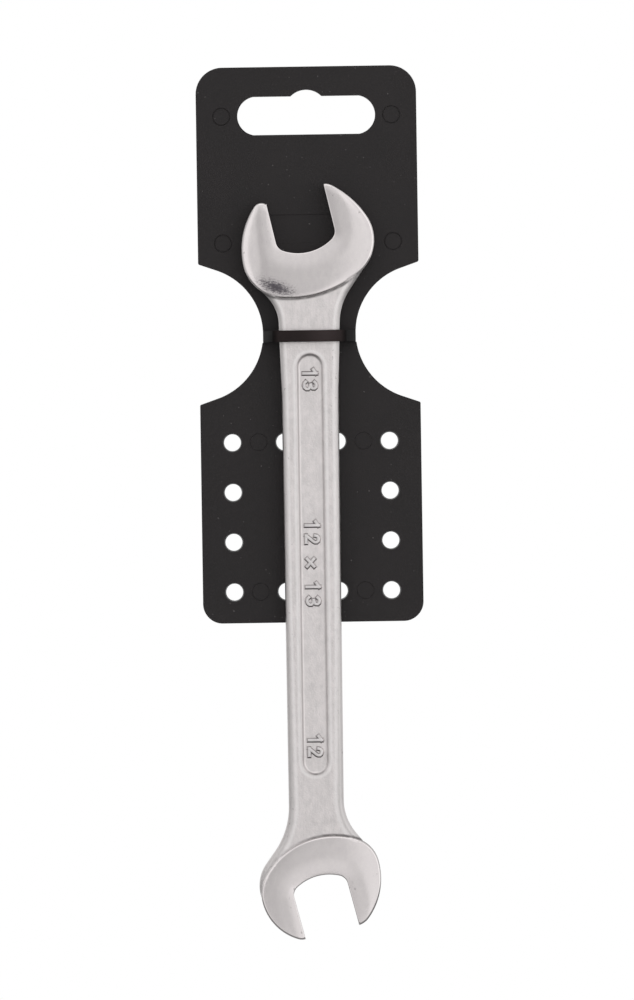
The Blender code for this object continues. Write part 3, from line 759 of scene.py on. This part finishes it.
def card_outline():
    """Outer edge of the card with the strap's two seats, counterclockwise from the front."""
    half_width = HALF * CARD_WIDTH
    foot = Vector((half_width - CARD_FOOT_RADIUS, CARD_FOOT + CARD_FOOT_RADIUS))
    top = Vector((half_width - CARD_TOP_RADIUS, CARD_TOP - CARD_TOP_RADIUS))
    waist = Vector((HALF * WAIST_WIDTH + WAIST_RADIUS, WAIST + WAIST_ARC_RISE))
    lean = math.acos((waist.x - WAIST_FLARE_SIDE) / WAIST_RADIUS)
    low_flare, high_flare = (waist + WAIST_RADIUS * heading(math.pi + turn) for turn in (lean, -lean))
    rise = Vector((0, (half_width - WAIST_FLARE_SIDE) / math.tan(lean)))
    out = Vector((half_width - WAIST_FLARE_SIDE, 0))
    low_seat, high_seat = (math.pi - math.asin((z - waist.y) / WAIST_RADIUS) for z in (SEAT_LOW, SEAT_HIGH))
    top_corner = arc(top, CARD_TOP_RADIUS, 0, RIGHT_ANGLE)
    right = arc(foot, CARD_FOOT_RADIUS, -RIGHT_ANGLE, 0)
    right += rounded(right[-1], low_flare + out - rise, low_flare, WAIST_CORNER_RADIUS, WAIST_RADIUS)
    right += arc(waist, WAIST_RADIUS, math.pi + lean, low_seat)
    right += [Vector((SEAT_SIDE, SEAT_LOW)), Vector((SEAT_SIDE, SEAT_HIGH))]
    right += arc(waist, WAIST_RADIUS, high_seat, math.pi - lean)
    right += rounded(high_flare, high_flare + out + rise, top_corner[0], WAIST_CORNER_RADIUS, WAIST_RADIUS)
    right += top_corner
    return right + mirrored(right)


def slot_outline():
    """Hang slot with round ends and a notch at the middle of its upper edge."""
    end = HALF * SLOT_LENGTH - SLOT_END_RISE
    notch = HALF * NOTCH_WIDTH
    points = bulge(Vector((end, SLOT_FLOOR)), Vector((end, SLOT_SHELF)), SLOT_END_RISE)
    points += bulge(Vector((notch, SLOT_SHELF)), Vector((-notch, SLOT_SHELF)), NOTCH_RISE)
    points += bulge(Vector((-end, SLOT_SHELF)), Vector((-end, SLOT_FLOOR)), SLOT_END_RISE)
    return points


def groove_tool(start, end):
    """A thin rod along the card's front face."""
    along = end - start
    middle = (start + end) / 2
    turn = (0, 0, 0) if along.x == 0 else (0, RIGHT_ANGLE, 0)
    return added("groove", bpy.ops.mesh.primitive_cylinder_add, vertices=GROOVE_VERTICES, radius=GROOVE_HALF,
                 depth=along.length, location=(middle.x, -CARD_FACE, middle.y), rotation=turn)


def hole_tool(x, z):
    """A round hole that narrows from the card's front face to its back."""
    beyond = (HOLE_RADIUS - HOLE_BACK_RADIUS) * OVERRUN / CARD_THICKNESS
    return added("hole", bpy.ops.mesh.primitive_cone_add, vertices=HOLE_VERTICES,
                 radius1=HOLE_RADIUS + beyond, radius2=HOLE_BACK_RADIUS - beyond,
                 depth=CARD_THICKNESS + 2 * OVERRUN, location=(x, 0, z), rotation=(-RIGHT_ANGLE, 0, 0))


def ring_tool(x, z, half):
    """A thin ring along the card's front face, as an ejector pin leaves it."""
    return added("ring", bpy.ops.mesh.primitive_torus_add, major_radius=MARK_RADIUS, minor_radius=half,
                 major_segments=MARK_SEGMENTS, minor_segments=MARK_GROOVE_VERTICES,
                 location=(x, -CARD_FACE, z), rotation=(RIGHT_ANGLE, 0, 0))


def moulded_card():
    """Card with slot and holes, its edges rounded all round, then the shallow reliefs of the mould."""
    card = slab("moulded_card", card_outline(), -CARD_FACE, CARD_FACE)
    through = CARD_FACE + OVERRUN
    cut(card, slab("slot", slot_outline(), -through, through))
    last = HOLES_A_SIDE - 1
    pitch = (HOLE_TOP_ROW - HOLE_FOOT_ROW) / last
    for column in range(HOLES_A_SIDE):
        for row in range(HOLES_A_SIDE):
            if {column, row} & {0, last}:
                cut(card, hole_tool((column - HALF * last) * HOLE_PITCH_ACROSS, HOLE_FOOT_ROW + row * pitch))
    bevel(card, CARD_ROUND, segments=3, angle=30)
    apply_modifiers(card)
    side, low = HALF * INSERT_WIDTH, WAIST + INSERT_ABOVE_WAIST
    insert = [Vector(corner) for corner in ((-side, low), (side, low), (side, low + INSERT_HEIGHT),
                                            (-side, low + INSERT_HEIGHT))]
    cut(card, slab("insert", insert, -through, INSERT_DEPTH - CARD_FACE))
    for start, end in zip(insert, insert[1:] + insert[:1]):
        cut(card, groove_tool(start, end))
    for x, half, heights in ((MARK_SIDE, GROOVE_HALF, (CARD_TOP - MARK_BELOW_TOP, WAIST + MARK_ABOVE_WAIST)),
                             (HOLE_PITCH_ACROSS, FAINT_GROOVE_HALF, (HOLE_TOP_ROW, HOLE_FOOT_ROW))):
        for z in heights:
            for sign in (-1, 1):
                cut(card, ring_tool(sign * x, z, half))
    settle(card)
    for face in card.data.polygons:
        face.use_smooth = abs(face.normal.y) < LEVEL_SHARE
    return card


def cable_tie():
    """The tie with its edges taken off, as the mould leaves them."""
    tie = linked("moulded_tie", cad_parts["cable_tie"].data.copy())
    tie.data.name = "moulded_tie"
    edit(tie, (bpy.ops.mesh.remove_doubles, {"threshold": TIE_WELD}),
         (bpy.ops.mesh.dissolve_limited, {"angle_limit": TIE_FLAT_ANGLE}))
    bevel(tie, TIE_EDGE, segments=2, angle=50)
    tie.modifiers.new("triangles", "TRIANGULATE")
    return settle(tie)


def raised_mark(name, top, figures):
    """Raised figures on the panel's floor, their tops towards the right and their sides sloping."""
    corners, faces = [], []
    for figure, down in figures:
        for number, stroke in enumerate(FIGURES[figure]):
            # each stroke's crest lies a little lower than the last, so that no two tops coincide
            levels = ((PANEL_FLOOR + FIGURE_SUNK, FIGURE_FOOT_HALF),
                      (PANEL_FLOOR - FIGURE_RISE + number * STROKE_STEP, FIGURE_TOP_HALF))
            line = [Vector(((up - HALF) * FIGURE_HEIGHT, WAIST + top - (down + right) * FIGURE_WIDTH))
                    for right, up in stroke]
            first, count = len(corners), len(line)
            for depth, half in levels:
                ends = (line[1] - line[0]).normalized() * half, (line[-1] - line[-2]).normalized() * half
                longer = [line[0] - ends[0]] + line[1:-1] + [line[-1] + ends[1]]
                for side in (half, -half):
                    corners += [(x, depth, z) for x, z in offset_ring(longer, side, closed=False)]
            foot, other_foot, crest, other_crest = (range(first + i * count, first + (i + 1) * count)
                                                    for i in range(4))
            rails = (foot, crest, other_crest, other_foot)
            for left, right in zip(rails, rails[1:] + rails[:1]):
                faces += [(left[i], left[i + 1], right[i + 1], right[i]) for i in range(count - 1)]
            faces += [tuple(rail[i] for rail in rails) for i in (0, count - 1)]
    mesh = bpy.data.meshes.new(name)
    mesh.from_pydata(corners, [], faces)
    mark = linked(name, mesh)
    edit(mark, (bpy.ops.mesh.normals_make_consistent, {"inside": False}))
    bevel(mark, FIGURE_ROUND, segments=2, angle=35)
    settle(mark)
    # a map of painted shade, by how far each face turns down, up or to the side
    shades = mark.data.uv_layers.new(name="shade").data
    for face in mark.data.polygons:
        shade = min(1.0, max(DOWN_SHADE * -face.normal.z, UP_SHADE * face.normal.z, SIDE_SHADE))
        for corner in face.loop_indices:
            shades[corner].uv = (shade, HALF)
    return mark


# Finishes

class Graph:
    """Builds one node tree."""

    def __init__(self, tree):
        self.tree = tree

    def fill(self, node, inputs):
        """A node with inputs, by name or number: linked to what comes from nodes, else set."""
        for name, value in inputs.items():
            if isinstance(value, bpy.types.NodeSocket):
                self.tree.links.new(value, node.inputs[name])
            else:
                node.inputs[name].default_value = value
        return node

    def node(self, kind, inputs=None, **settings):
        """A new shader node."""
        made = self.tree.nodes.new("ShaderNode" + kind)
        for name, value in settings.items():
            setattr(made, name, value)
        return self.fill(made, inputs or {})

    def math(self, operation, *values):
        """One sum of numbers or sockets."""
        return self.node("Math", dict(enumerate(values)), operation=operation).outputs[0]

    def times(self, first, second):
        """A product."""
        return self.math("MULTIPLY", first, second)

    def plus(self, first, second):
        """A sum."""
        return self.math("ADD", first, second)

    def most(self, first, second):
        """The greater of two."""
        return self.math("MAXIMUM", first, second)

    def less(self, first, second):
        """A difference."""
        return self.math("SUBTRACT", first, second)

    def size(self, value):
        """A value without its sign."""
        return self.math("ABSOLUTE", value)

    def span(self, value, low, high, to_low=0.0, to_high=1.0):
        """A value's place between low and high, as a smooth step to the other two."""
        made = self.node("MapRange", {"Value": value, "From Min": low, "From Max": high, "To Min": to_low,
                                      "To Max": to_high}, interpolation_type="SMOOTHSTEP")
        return made.outputs[0]

    def spread(self, noise, to_low=0.0, to_high=1.0):
        """Noise over its whole range, as a smooth step between two values."""
        return self.span(noise, NOISE_LOW, NOISE_HIGH, to_low, to_high)

    def peak(self, value, centre, reach):
        """1 at the centre, falling to 0 at its reach on both sides."""
        return self.span(self.size(self.less(value, centre)), 0.0, reach, 1.0, 0.0)

    def place(self, stretch=(1, 1, 1)):
        """Object coordinates, stretched."""
        place = self.node("TexCoord").outputs["Object"]
        return self.node("Mapping", {"Vector": place, "Scale": stretch}).outputs[0]

    def axes(self, vector):
        """The three parts of a vector."""
        return self.node("SeparateXYZ", {0: vector}).outputs

    def map(self, name):
        """The parts of a piece's own map."""
        return self.axes(self.node("UVMap", uv_map=name).outputs[0])

    def noise(self, vector, scale, detail, roughness=0.5):
        """Noise around a half."""
        made = self.node("TexNoise", {"Vector": vector, "Scale": scale, "Detail": detail,
                                      "Roughness": roughness})
        return made.outputs["Fac"]

    def mix(self, share, first, second):
        """A mix of two colours."""
        return self.node("Mix", {0: share, 6: first, 7: second}, data_type="RGBA").outputs[2]

    def bump(self, height, distance):
        """Relief from a height."""
        return self.node("Bump", {"Height": height, "Distance": distance}).outputs["Normal"]

    def use(self, shared):
        """A shared group's outputs."""
        return self.node("Group", node_tree=shared).outputs


def group(name, outputs_of):
    """A shader group with float outputs, each worked out in its graph."""
    tree = bpy.data.node_groups.new(name, "ShaderNodeTree")
    graph = Graph(tree)
    outputs = outputs_of(graph)
    for output in outputs:
        tree.interface.new_socket(name=output, in_out="OUTPUT", socket_type="NodeSocketFloat")
    graph.fill(tree.nodes.new("NodeGroupOutput"), outputs)
    return tree


def blasted_grain(graph):
    """Grain, mottles, drawn streaks, specks and patches of blasted and plated steel."""
    return {
        "Grain": graph.noise(graph.place(), 2600.0, 3.0, 0.6),
        "Mottle": graph.noise(graph.place((1, 1, 0.6)), 620.0, 5.0, 0.68),
        "Streak": graph.noise(graph.place((1, 1, 0.045)), 2400.0, 3.0, 0.6),
        "Speck": graph.span(graph.noise(graph.place((1, 1, 0.7)), 1500.0, 2.0, 0.55), 0.66, 0.76),
        "Patch": graph.noise(graph.place(), 230.0, 5.0, 0.65),
    }


def mould_grain(graph):
    """Fine matt grain, cloudy sheen and pale dust of moulded plastic."""
    return {
        "Grain": graph.noise(graph.place(), 3400.0, 2.0, 0.55),
        "Cloud": graph.noise(graph.place(), 90.0, 3.0, 0.5),
        "Dust": graph.span(graph.noise(graph.place(), 1250.0, 1.0, 0.4), 0.755, 0.785),
    }


def surface(name, roughness, metallic=0.0, specular=0.5):
    """A Principled material and its graph."""
    made = bpy.data.materials.new(name)
    made.use_nodes = True
    values = {"Roughness": roughness, "Metallic": metallic, "Specular IOR Level": specular}
    return driven(made, values), Graph(made.node_tree)


def driven(made, inputs):
    """The material, with some of its shader's inputs set or worked out by nodes."""
    Graph(made.node_tree).fill(made.node_tree.nodes["Principled BSDF"], inputs)
    return made


def painted_crevice_shade(graph, parts, edges, panel, place):
    """Painted shade round the heads' steps and down the panel's walls, most of it under the upper head."""
    # 1 above the wrench's middle and -1 below it: each head's step has the most painted shade on its own side
    end = graph.span(place[2], *MIDDLE_FADE, -1.0, 1.0)
    kept = graph.span(graph.times(place[0], end), *KEPT_FADE, 1.0, 0.0)
    off_edge = graph.span(edges[1], *EDGE_SHADE_FADE, 0.25, 1.0)
    paler = graph.span(place[0], *PALER_FADE, 0.3, 1.0)
    step = graph.times(graph.peak(edges[0], *STEP_SHADE), graph.most(off_edge, kept))
    step = graph.times(step, graph.most(end, paler))
    round_end = graph.span(graph.size(graph.less(panel[1], 0.5)), 0.15, 0.5)
    along = graph.span(place[0], *SIDE_FADE, 0.45, 0.12)
    wall = graph.times(graph.peak(panel[0], *WALL_SHADE), graph.most(round_end, along))
    broken = graph.span(parts["Mottle"], 0.3, 0.62, 0.7, 1.0)
    return graph.times(graph.most(step, wall), broken)


def painted_edge_light(graph, edges, panel, place, shaft):
    """The shank's painted light: painted shade on the bevel at its edges, and a painted highlight line inside
    that and along the panel's rim.
    """
    inward = graph.times(edges[1], graph.span(place[2], *NARROW_FADE, 0.7, 1.0))
    bevel_shade = graph.times(shaft, graph.span(inward, *BEVEL_FADE, 1.0, 0.0))
    bevel_shade = graph.times(bevel_shade, graph.span(place[0], *SIDE_FADE, 0.55, 0.85))
    line = graph.times(shaft, graph.peak(inward, *EDGE_HIGHLIGHT))
    rim = graph.times(shaft, graph.peak(panel[0], *RIM_HIGHLIGHT))
    return bevel_shade, graph.most(line, rim)


def stained(graph, colour):
    """A colour with one ragged stain and its halo."""
    stain = graph.node("Mapping", {"Vector": graph.place(), "Location": STAIN_PLACE, "Rotation": STAIN_TURN,
                                   "Scale": STAIN_SIZE}, vector_type="TEXTURE").outputs[0]
    stain = graph.node("VectorMath", {0: stain}, operation="LENGTH").outputs["Value"]
    ragged = graph.noise(graph.place((1, 1, 2.2)), 1500.0, 4.0, 0.7)
    stain = graph.plus(stain, graph.times(graph.less(ragged, 0.5), 2.6))
    colour = graph.mix(graph.span(stain, 0.6, 1.8, 0.3, 0.0), colour, STAIN_HALO)
    return graph.mix(graph.span(stain, 0.3, 1.15, 0.9, 0.0), colour, STAIN)


def chrome_finish(grain):
    """Blasted shank and polished heads, with painted shade in the crevices, painted shade and highlights
    along the shank's edges, and one stain.
    """
    made, graph = surface("satin_chrome", 0.3, 1.0)
    parts = graph.use(grain)
    edges, panel, place = graph.map("edges"), graph.map("panel"), graph.axes(graph.place())
    head = graph.span(edges[0], *HEAD_FADE)
    shaft = graph.less(1.0, head)
    crevice_shade = painted_crevice_shade(graph, parts, edges, panel, place)
    bevel_shade, edge_highlight = painted_edge_light(graph, edges, panel, place, shaft)

    mottle = graph.spread(parts["Mottle"])
    patch = graph.times(graph.span(parts["Patch"], 0.56, 0.7, 0.0, 0.4), parts["Grain"])
    blasted = graph.mix(patch, graph.mix(mottle, *BLASTED), BLASTED_PATCH)
    colour = graph.mix(head, blasted, graph.mix(mottle, *POLISHED))
    streaks = graph.times(graph.span(parts["Streak"], 0.3, 0.52, 0.16, 0.0), shaft)
    streaks = graph.times(streaks, graph.span(panel[0], *STREAK_FADE, 1.0, 0.3))
    colour = graph.mix(streaks, colour, STREAK)
    # painted shade on the shank's bevelled edges, heavier on the right side
    colour = graph.mix(bevel_shade, colour, BEVEL)
    # painted highlight just inside the shank's edges and along the panel's rim
    colour = graph.mix(graph.times(edge_highlight, 0.6), colour, PAINTED_HIGHLIGHT)
    # painted shade in the crevices: round the heads' steps and down the panel's walls
    colour = graph.mix(graph.times(crevice_shade, 0.85), colour, PAINTED_SHADE)
    colour = stained(graph, colour)
    specks = graph.times(parts["Speck"], graph.span(edges[1], *SPECK_FADE, 0.5, 0.06))
    colour = graph.mix(specks, colour, SPECK)

    rough = graph.spread(parts["Mottle"], 0.36, 0.44)
    smoother = graph.less(graph.spread(parts["Mottle"], 0.11, 0.15), rough)
    rough = graph.plus(rough, graph.times(smoother, head))
    rough = graph.plus(rough, graph.times(crevice_shade, 0.2))
    height = graph.plus(parts["Grain"], graph.times(parts["Mottle"], 1.5))
    height = graph.times(height, graph.span(head, 0.0, 1.0, 1.0, 0.08))
    return driven(made, {"Base Color": colour, "Roughness": rough,
                         "Normal": graph.bump(height, STEEL_RELIEF)})


def mark_finish(grain):
    """Plated figures, with painted shade where they rise from the panel's floor, most of all on the slopes
    that face down.
    """
    made, graph = surface("satin_chrome_marks", 0.36, 1.0)
    parts = graph.use(grain)
    foot = graph.span(graph.axes(graph.place())[1], *MARK_FADE)
    colour = graph.mix(graph.spread(parts["Mottle"]), *PLATED_MARK)
    # painted shade on the figures' slopes, darkest on those that face down
    colour = graph.mix(graph.times(foot, graph.map("shade")[0]), colour, PAINTED_SHADE)
    return driven(made, {"Base Color": colour, "Normal": graph.bump(parts["Grain"], MARK_RELIEF)})


def plastic_finish(grain):
    """Black moulded card with a matt grain and a little dust."""
    made, graph = surface("black_moulded_plastic", 0.55, 0.0, 0.3)
    parts = graph.use(grain)
    colour = graph.mix(graph.spread(parts["Cloud"]), *PLASTIC)
    colour = graph.mix(graph.times(parts["Dust"], 0.5), colour, DUST)
    return driven(made, {"Base Color": colour, "Roughness": graph.spread(parts["Cloud"], 0.5, 0.6),
                         "Normal": graph.bump(parts["Grain"], CARD_RELIEF)})


def nylon_finish(grain):
    """Black nylon strap, a little paler over the wrench with a painted highlight, and darkest down its sides
    with painted shade.
    """
    made, graph = surface("black_nylon", 0.5, 0.0, 0.03)
    parts = graph.use(grain)
    side = graph.axes(graph.place())[0]
    strap_sheen = graph.times(graph.peak(side, *SHEEN_BAND), parts["Cloud"])
    strap_shade = graph.span(graph.size(side), *STRAP_SHADE_FADE, 0.0, 0.9)
    # painted highlight over the wrench, painted shade down the strap's sides
    colour = graph.mix(strap_shade, graph.mix(strap_sheen, NYLON, NYLON_SHEEN), NYLON_SHADE)
    return driven(made, {"Base Color": colour, "Roughness": graph.spread(parts["Cloud"], 0.45, 0.55),
                         "Normal": graph.bump(parts["Grain"], NYLON_RELIEF)})


def finish(piece, look):
    """Give a piece one material."""
    piece.data.materials.clear()
    piece.data.materials.append(look)


steel_grain = group("blasted_grain", blasted_grain)
plastic_grain = group("mould_grain", mould_grain)
chrome = chrome_finish(steel_grain)
chrome_marks = mark_finish(steel_grain)
plastic = plastic_finish(plastic_grain)
nylon = nylon_finish(plastic_grain)

wrench = settle(forging())
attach(wrench, "wrench")
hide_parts("wrench")
finish(wrench, chrome)

for name, (top, figures) in RAISED.items():
    mark = raised_mark(name, top, figures)
    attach(mark, "wrench")
    finish(mark, chrome_marks)

card = moulded_card()
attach(card, "card")
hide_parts("hang_card")
finish(card, plastic)

tie = cable_tie()
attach(tie, "tie")
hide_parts("cable_tie")
finish(tie, nylon)


# Studio, in metres

VIEW_HEIGHT = 217.4 * MM
VIEW_DISTANCE = 1.6
AIM = Vector((1.13 * MM, -3 * MM, -89.4 * MM))
ROLL = math.radians(-0.85)
SENSOR = 24.0
FLOOR_SIZE = 3.0
FLOOR_DEPTH = -0.62
ROOM_GLOW = 0.75
LOW_GLOW = 0.3
LEFT_GLOW = 0.72


def stage_plane(name, size, place, look):
    """A flat piece of the studio."""
    sheet = added(name, bpy.ops.mesh.primitive_plane_add, size=size, location=place)
    finish(sheet, look)
    return sheet


def softbox(name, place, width, height, radiance):
    """A soft rectangular lamp aimed at the wrench."""
    data = bpy.data.lights.new(name, "AREA")
    data.shape = "RECTANGLE"
    data.size = width
    data.size_y = height
    data.energy = radiance * width * height * math.pi
    lamp = linked(name, data)
    lamp.location = place
    lamp.rotation_euler = (Vector(place) - AIM).to_track_quat("Z", "Y").to_euler()


def floor_finish():
    """Pale matt floor with a faint unevenness."""
    made, graph = surface("pale_floor", 0.7)
    return driven(made, {"Base Color": graph.mix(graph.spread(graph.noise(graph.place(), 6.0, 3.0)), *FLOOR)})


def reflector(name, place, turn, width, height, glow_of):
    """A studio card that only reflections show: its glow comes from a graph of its own places."""
    made = bpy.data.materials.new(name)
    made.use_nodes = True
    graph = Graph(made.node_tree)
    nodes = made.node_tree.nodes
    nodes.remove(nodes["Principled BSDF"])
    glow = graph.node("Emission", {"Strength": glow_of(graph)}).outputs[0]
    clear = graph.node("BsdfTransparent").outputs[0]
    path = graph.node("LightPath").outputs["Is Glossy Ray"]
    mixed = graph.node("MixShader", {0: path, 1: clear, 2: glow}).outputs[0]
    graph.fill(nodes["Material Output"], {"Surface": mixed})
    sheet = stage_plane(name, 1.0, (0, 0, 0), made)
    sheet.data.transform(Matrix.Translation(place) @ turn @ Matrix.Diagonal((width, height, 1, 1)))


def front_glow(graph):
    """Darker than the room in its middle, most at its left, as bright at its right and its ends."""
    place = graph.axes(graph.place())
    right = graph.span(place[0], 0.12, 0.27, 0.76, 1.03)
    left = graph.plus(graph.span(place[0], -0.28, -0.05, -0.1, 0.0),
                      graph.span(place[0], -0.62, -0.44, 0.2, 0.0))
    ends = graph.span(graph.size(graph.plus(place[2], 0.09)), 0.1, 0.42, 0.0, 0.16)
    return graph.plus(graph.plus(right, left), ends)


stage_plane("floor", FLOOR_SIZE, (0, 0, FLOOR_DEPTH), floor_finish())
reflector("front_card", (-0.25, -1.9, -0.09), Matrix.Rotation(RIGHT_ANGLE, 4, "X"), width=1.48, height=1.2,
          glow_of=front_glow)
reflector("low_flag", (0, 0.1, -0.26), Matrix.Identity(4), width=1.2, height=0.5,
          glow_of=lambda graph: LOW_GLOW)
reflector("left_flag", (-1.3, -0.5, -0.05), Matrix.Rotation(RIGHT_ANGLE, 4, "Y"), width=1.4, height=2.2,
          glow_of=lambda graph: LEFT_GLOW)

world = bpy.data.worlds.new("white_studio")
bpy.context.scene.world = world
world.use_nodes = True
room = Graph(world.node_tree)
light_path = room.node("LightPath").outputs
seen = room.most(light_path["Is Camera Ray"], light_path["Is Glossy Ray"])
seen = room.most(seen, light_path["Is Transmission Ray"])
room.fill(world.node_tree.nodes["Background"],
          {"Color": (1, 1, 1, 1), "Strength": room.span(seen, 0.0, 1.0, ROOM_GLOW, 1.0)})

softbox("left_softbox", (-0.9, -1.0, 0.15), width=0.8, height=1.2, radiance=0.15)
softbox("right_softbox", (0.9, -1.0, 0.15), width=0.8, height=1.2, radiance=0.4)
softbox("top_softbox", (0.0, -0.7, 0.9), width=0.9, height=0.5, radiance=0.6)

camera_data = bpy.data.cameras.new("camera")
camera_data.sensor_fit = "VERTICAL"
camera_data.sensor_height = SENSOR
camera_data.lens = SENSOR * VIEW_DISTANCE / VIEW_HEIGHT
camera = linked("camera", camera_data)
camera.matrix_world = (Matrix.Translation(AIM - Vector((0, VIEW_DISTANCE, 0)))
                       @ Matrix.Rotation(RIGHT_ANGLE, 4, "X") @ Matrix.Rotation(ROLL, 4, "Z"))
bpy.context.scene.camera = camera
bpy.context.scene.view_settings.view_transform = "Standard"
